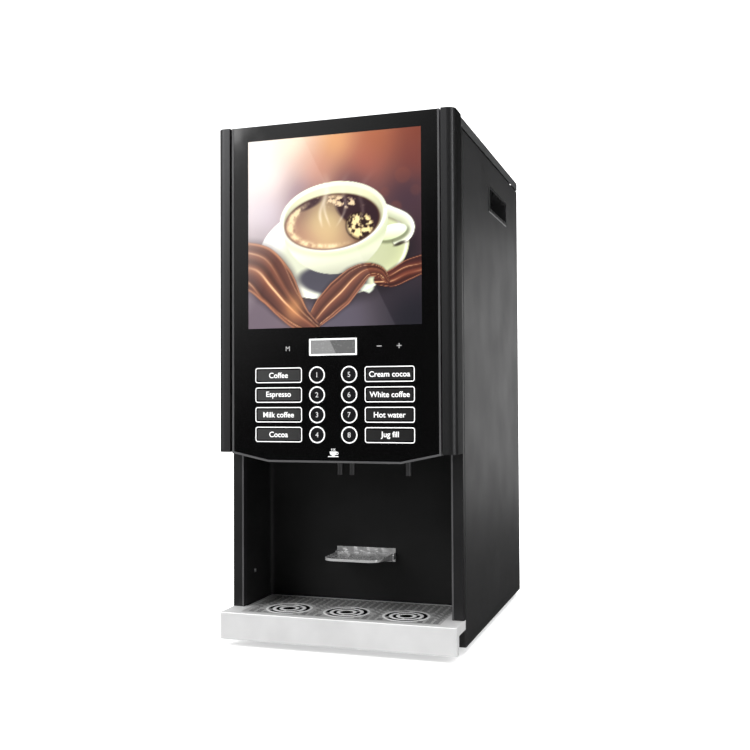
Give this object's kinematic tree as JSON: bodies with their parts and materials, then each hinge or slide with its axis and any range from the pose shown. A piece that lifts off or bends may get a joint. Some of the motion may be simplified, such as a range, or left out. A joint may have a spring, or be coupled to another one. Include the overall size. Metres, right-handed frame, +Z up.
{
  "type": "hot drinks machine",
  "caption": "Table-top hot drinks machine for instant powders: hinged glass-fronted door with keys, cup bay, slide-out drip tray and lift-up lid.",
  "frame": {"origin": "centre of the footprint, on the surface that the feet stand on", "axes": "+Z up, the door faces -Y, +X to the right of a person who faces the machine"},
  "size_m": [0.384, 0.555, 0.812],
  "materials": {
    "side_panels": "satin charcoal powder coat",
    "lid_paint": "fine textured grey powder coat",
    "steel_chassis": "galvanised and grey coated sheet steel",
    "frame_paint": "satin black powder coat",
    "bay_liner": "matt near-black moulded liner",
    "feet_rubber": "matt black rubber",
    "black_plastic": "fine-textured black moulded plastic",
    "glass_black": "black back-printed toughened pane, high gloss",
    "trim_metal": "satin dark grey metallic",
    "tray_steel": "horizontally brushed stainless steel",
    "grid_steel": "brushed stainless steel, perforated",
    "shelf_steel": "polished stainless steel",
    "poster_print": "printed translucent sheet behind the pane",
    "label_print": "printed grey label with a white outline",
    "display": "grey character display with a white frame",
    "lightbox_white": "white reflective tray",
    "circuit_board": "green solder mask",
    "galvanised": "galvanised sheet",
    "hinge_steel": "zinc plated steel",
    "key_caps": "gloss black cap",
    "lock_metal": "chromed zinc",
    "canister_clear": "milky translucent food plastic",
    "canister_lid": "black food plastic",
    "auger_wire": "stainless wire",
    "motor_housing": "zinc plated motor cans and gearboxes",
    "bowl_plastic": "dark food plastic",
    "whipper_plastic": "white acetal",
    "boiler_steel": "stainless sheet",
    "valve_plastic": "pale food plastic and coil",
    "inlet_metal": "nickel-plated brass tail and valve",
    "hose_silicone": "translucent silicone",
    "supply_case": "perforated aluminium case",
    "fan_plastic": "black glass-filled plastic",
    "inlet_plastic": "black thermoplastic"
  },
  "bodies": {
    "cabinet": {"base_pan": "steel_chassis", "feet": "feet_rubber", "right_side_panel": "side_panels", "left_side_panel": "side_panels", "hand_holds": "black_plastic", "rear_panel": "steel_chassis", "front_frame": "frame_paint", "cup_bay_liner": "bay_liner", "nozzles": "black_plastic", "motor_bulkhead": "steel_chassis", "canister_shelf": "steel_chassis", "canisters": "canister_clear", "canister_lids": "canister_lid", "canister_chutes": "canister_lid", "drive_motors": "motor_housing", "mixing_bowls": "bowl_plastic", "boiler_tank": "boiler_steel", "boiler_lid": "boiler_steel", "boiler_valves": "valve_plastic", "water_inlet_valve": "inlet_metal", "hoses": "hose_silicone", "power_supply": "supply_case", "control_board": "circuit_board", "fan_housing": "fan_plastic", "power_inlet": "inlet_plastic", "cup_shelf_bracket": "shelf_steel", "hinge_leaves": "hinge_steel"},
    "door": {"door_frame": "black_plastic", "door_glass": "glass_black", "door_trims": "trim_metal", "poster": "poster_print", "drink_labels": "label_print", "display": "display", "lightbox": "lightbox_white", "key_board": "circuit_board", "door_back_cover": "galvanised", "door_hinge_pins": "hinge_steel", "lock_barrel": "lock_metal"},
    "lock_cam": {"lock_cam": "lock_metal"},
    "lid": {"top_lid": "lid_paint", "lid_hinge_leaves": "hinge_steel"},
    "drip_tray": {"tray_cover": "tray_steel", "drip_pan": "black_plastic"},
    "drip_grid": {"drip_grid": "grid_steel"},
    "cup_shelf": {"cup_shelf": "shelf_steel"},
    "coffee_auger": {"coffee_auger": "auger_wire"},
    "milk_auger": {"milk_auger": "auger_wire"},
    "cocoa_auger": {"cocoa_auger": "auger_wire"},
    "left_whipper": {"left_whipper": "whipper_plastic"},
    "right_whipper": {"right_whipper": "whipper_plastic"},
    "fan_rotor": {"fan_rotor": "fan_plastic"},
    "power_rocker": {"power_rocker": "inlet_plastic"},
    "drink_key_1": {"drink_key_1": "key_caps"},
    "drink_key_2": {"drink_key_2": "key_caps"},
    "drink_key_3": {"drink_key_3": "key_caps"},
    "drink_key_4": {"drink_key_4": "key_caps"},
    "drink_key_5": {"drink_key_5": "key_caps"},
    "drink_key_6": {"drink_key_6": "key_caps"},
    "drink_key_7": {"drink_key_7": "key_caps"},
    "drink_key_8": {"drink_key_8": "key_caps"}
  },
  "joints": [
    {"name": "door_hinge", "type": "hinge", "parent": "cabinet", "child": "door", "pos_m": [-0.1845, -0.237, 0.56], "axis": [0, 0, -1], "range_deg": [0, 100]},
    {"name": "lock_turn", "type": "hinge", "parent": "door", "child": "lock_cam", "pos_m": [0.085, -0.244, 0.31], "axis": [0, 0, -1], "range_deg": [0, 90]},
    {"name": "lid_hinge", "type": "hinge", "parent": "cabinet", "child": "lid", "pos_m": [0, 0.2682, 0.797], "axis": [-1, 0, 0], "range_deg": [0, 75]},
    {"name": "tray_slide", "type": "slide", "parent": "cabinet", "child": "drip_tray", "axis": [0, -1, 0], "range_m": [0, 0.15]},
    {"name": "grid_lift", "type": "slide", "parent": "drip_tray", "child": "drip_grid", "axis": [0, 0, 1], "range_m": [0, 0.03]},
    {"name": "cup_shelf_flip", "type": "hinge", "parent": "cabinet", "child": "cup_shelf", "pos_m": [0, -0.127, 0.127], "axis": [-1, 0, 0], "range_deg": [0, 90]},
    {"name": "coffee_auger_turn", "type": "hinge", "parent": "cabinet", "child": "coffee_auger", "pos_m": [-0.108, -0.044, 0.5245], "axis": [0, 1, 0], "continuous": true},
    {"name": "milk_auger_turn", "type": "hinge", "parent": "cabinet", "child": "milk_auger", "pos_m": [0, -0.044, 0.5245], "axis": [0, 1, 0], "continuous": true},
    {"name": "cocoa_auger_turn", "type": "hinge", "parent": "cabinet", "child": "cocoa_auger", "pos_m": [0.108, -0.044, 0.5245], "axis": [0, 1, 0], "continuous": true},
    {"name": "left_whipper_spin", "type": "hinge", "parent": "cabinet", "child": "left_whipper", "pos_m": [-0.057, -0.164, 0.35], "axis": [0, 1, 0], "continuous": true},
    {"name": "right_whipper_spin", "type": "hinge", "parent": "cabinet", "child": "right_whipper", "pos_m": [0.057, -0.164, 0.35], "axis": [0, 1, 0], "continuous": true},
    {"name": "fan_spin", "type": "hinge", "parent": "cabinet", "child": "fan_rotor", "pos_m": [0.11, 0.246, 0.44], "axis": [0, 1, 0], "continuous": true},
    {"name": "power_switch", "type": "hinge", "parent": "cabinet", "child": "power_rocker", "pos_m": [-0.086, 0.2575, 0.062], "axis": [1, 0, 0], "range_deg": [-8, 8]},
    {"name": "key_1_press", "type": "slide", "parent": "door", "child": "drink_key_1", "axis": [0, 1, 0], "range_m": [0, 0.0012], "stiffness_N_per_m": 300, "springref_m": -0.002},
    {"name": "key_2_press", "type": "slide", "parent": "door", "child": "drink_key_2", "axis": [0, 1, 0], "range_m": [0, 0.0012], "stiffness_N_per_m": 300, "springref_m": -0.002},
    {"name": "key_3_press", "type": "slide", "parent": "door", "child": "drink_key_3", "axis": [0, 1, 0], "range_m": [0, 0.0012], "stiffness_N_per_m": 300, "springref_m": -0.002},
    {"name": "key_4_press", "type": "slide", "parent": "door", "child": "drink_key_4", "axis": [0, 1, 0], "range_m": [0, 0.0012], "stiffness_N_per_m": 300, "springref_m": -0.002},
    {"name": "key_5_press", "type": "slide", "parent": "door", "child": "drink_key_5", "axis": [0, 1, 0], "range_m": [0, 0.0012], "stiffness_N_per_m": 300, "springref_m": -0.002},
    {"name": "key_6_press", "type": "slide", "parent": "door", "child": "drink_key_6", "axis": [0, 1, 0], "range_m": [0, 0.0012], "stiffness_N_per_m": 300, "springref_m": -0.002},
    {"name": "key_7_press", "type": "slide", "parent": "door", "child": "drink_key_7", "axis": [0, 1, 0], "range_m": [0, 0.0012], "stiffness_N_per_m": 300, "springref_m": -0.002},
    {"name": "key_8_press", "type": "slide", "parent": "door", "child": "drink_key_8", "axis": [0, 1, 0], "range_m": [0, 0.0012], "stiffness_N_per_m": 300, "springref_m": -0.002}
  ]
}
